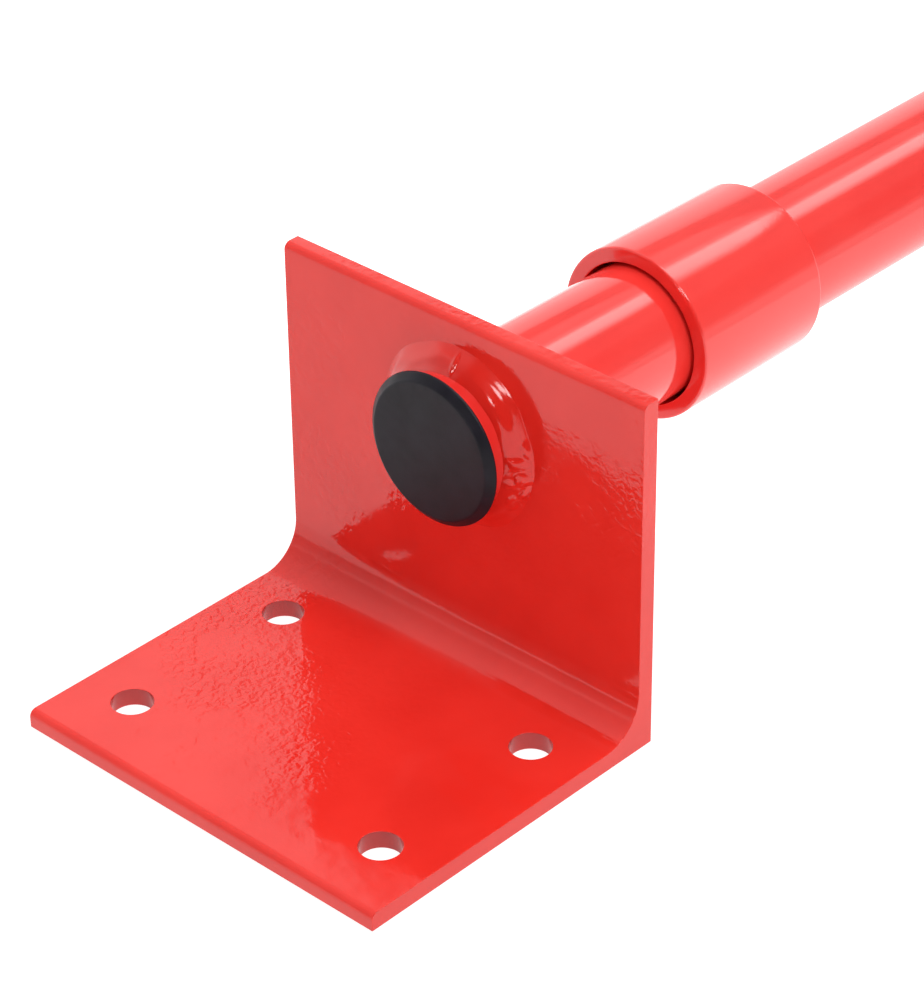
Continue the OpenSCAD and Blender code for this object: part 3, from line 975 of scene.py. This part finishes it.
def floor_material():
    """Pale table with a soft light of its own, which is stronger under the bar than farther off."""
    m = Surface("studio_table")
    color = m.tint(m.noise(0.6, 2.0), (0.20, 0.20, 0.20), (0.22, 0.22, 0.22))
    x, _, _ = m.xyz()
    under_bar = m.fade(x, NEAR_FACE - 10 * MM, NEAR_FACE + 110 * MM, 0.95, 1.3)
    farther = m.fade(x, -0.02, 0.10, 0.0, 0.48)
    m.shader.inputs["Emission Color"].default_value = (1, 1, 1, 1)
    m.link(m.maths("SUBTRACT", under_bar, farther), m.shader.inputs["Emission Strength"])
    return m.finish(color, 0.7, Specular_IOR_Level=0.1)


def studio_floor():
    r = 30
    z = -0.5 * MM
    mesh = bpy.data.meshes.new("studio_floor")
    mesh.from_pydata([(-r, -r, z), (r, -r, z), (r, r, z), (-r, r, z)], [], [(0, 1, 2, 3)])
    obj = bpy.data.objects.new("studio_floor", mesh)
    bpy.context.scene.collection.objects.link(obj)
    mesh.materials.append(floor_material())


class Sky(Graph):
    """The nodes of the studio's light, all worked out from the direction looked in."""

    def __init__(self):
        world = bpy.data.worlds.new("studio")
        bpy.context.scene.world = world
        world.use_nodes = True
        super().__init__(world.node_tree, "Generated")
        self.x, self.y, self.z = self.xyz()

    def blend(self, factor, a, b):
        """a where factor is 0, b where it is 1."""
        rest = self.maths("MULTIPLY", a, self.maths("SUBTRACT", 1.0, factor))
        return self.maths("ADD", rest, self.maths("MULTIPLY", b, factor))

    def lamp(self, direction, inner, outer, level):
        """A round softbox, whose edge fades between two angles in degrees from its middle."""
        dot = self.tree.nodes.new("ShaderNodeVectorMath")
        dot.operation = "DOT_PRODUCT"
        self.link(self.coord, dot.inputs[0])
        dot.inputs[1].default_value = Vector(direction).normalized()
        lo = math.cos(math.radians(outer))
        hi = math.cos(math.radians(inner))
        return self.fade(dot.outputs["Value"], lo, hi, 0.0, level)


# Strip lights beside the bar: (angle round the X axis from +Y towards +Z in degrees, level)
STRIPS = [(0, 1.3), (34, 1.3), (43, 1.05), (50, 0.42), (57, 0.42), (66, 1.0), (80, 1.0), (86, 1.8),
          (90, 4.4), (102, 3.8), (112, 0.5), (150, 0.30), (172, 0.4), (180, 1.0)]


def strip_lights(sky):
    """The strips, dimmer in front of the near end."""
    ramp = sky.tree.nodes.new("ShaderNodeValToRGB")
    angle = sky.maths("ARCTAN2", sky.z, sky.y)
    sky.link(sky.maths("DIVIDE", angle, math.pi), ramp.inputs[0])
    stops = ramp.color_ramp.elements
    for k, (degrees, level) in enumerate(STRIPS):
        stop = stops[k] if k < 2 else stops.new(degrees / 180)
        stop.position = degrees / 180
        stop.color = (level, level, level, 1)
    front = sky.fade(sky.x, -0.5, 0.1, 0.12, 1.0)
    behind = sky.fade(sky.y, 0.25, 0.55, 0.0, 1.0)
    strips = sky.maths("MULTIPLY", ramp.outputs["Color"], sky.maths("MAXIMUM", front, behind))
    ahead = sky.fade(sky.x, -0.75, -0.4, 0.5, 1.0)
    high = sky.fade(sky.z, 0.25, 0.4, 0.0, 1.0)
    return sky.maths("MULTIPLY", strips, sky.maths("MAXIMUM", ahead, high))


def ceiling_panel(sky, light):
    """A soft panel over the far side of the bar, which the root of the near angle shows."""
    beside = sky.fade(sky.y, 0.30, 0.45, 0.0, 1.0)
    above = sky.fade(sky.z, 0.30, 0.50, 0.0, 1.0)
    near = sky.fade(sky.x, 0.50, 0.54, 1.0, 0.0)
    inside = sky.maths("MULTIPLY", sky.maths("MULTIPLY", beside, above), near)
    return sky.blend(inside, light, sky.fade(sky.x, -0.7, -0.2, 0.62, 0.92))


def upright_panel(sky, light):
    """A tall panel behind the bar, whose near edge stands at one bearing: a level face shows it sharp."""
    bearing = sky.maths("DIVIDE", sky.y, sky.maths("MAXIMUM", sky.x, 0.1))
    panel = sky.fade(bearing, 1.048, 1.072, 0.46, 1.32)
    above_foot = sky.fade(sky.z, 0.515, 0.535, 0.0, 1.0)
    below_top = sky.fade(sky.z, 0.648, 0.675, 1.0, 0.0)
    ahead = sky.fade(sky.x, 0.40, 0.46, 0.0, 1.0)
    inside = sky.maths("MULTIPLY", sky.maths("MULTIPLY", above_foot, below_top), ahead)
    return sky.blend(inside, light, panel)


def studio_world():
    """Strips and panels, dimmer end on, and two round softboxes: one high at the side, one low in front."""
    sky = Sky()
    light = upright_panel(sky, ceiling_panel(sky, strip_lights(sky)))
    end_on = sky.fade(sky.maths("ABSOLUTE", sky.x), 0.76, 0.86, 1.0, 0.5)
    light = sky.maths("MULTIPLY", light, end_on)
    light = sky.maths("ADD", light, sky.lamp((-0.05, -0.6, 0.8), 9, 11, 12.0))
    light = sky.maths("ADD", light, sky.lamp((-0.94, -0.09, 0.31), 4.5, 6.5, 12.0))
    sky.link(light, sky.tree.nodes["Background"].inputs["Color"])


def camera():
    """Looks down the bar from in front of the near bracket."""
    data = bpy.data.cameras.new("camera")
    data.lens = 128.5
    data.sensor_width = 36
    data.dof.use_dof = False
    obj = bpy.data.objects.new("camera", data)
    bpy.context.scene.collection.objects.link(obj)
    forward = Vector((0.612, 0.577, -0.5409)).normalized()
    roll = Matrix.Rotation(math.radians(-0.74), 3, "Z")
    obj.location = Vector((NEAR_FACE, 0, 0)) + Vector((-0.5538, -0.5183, 0.5337))
    obj.rotation_euler = (forward.to_track_quat("-Z", "Y").to_matrix() @ roll).to_euler()
    bpy.context.scene.camera = obj


studio_floor()
studio_world()
camera()
bpy.context.scene.view_settings.view_transform = "Standard"

bpy.context.view_layer.update()
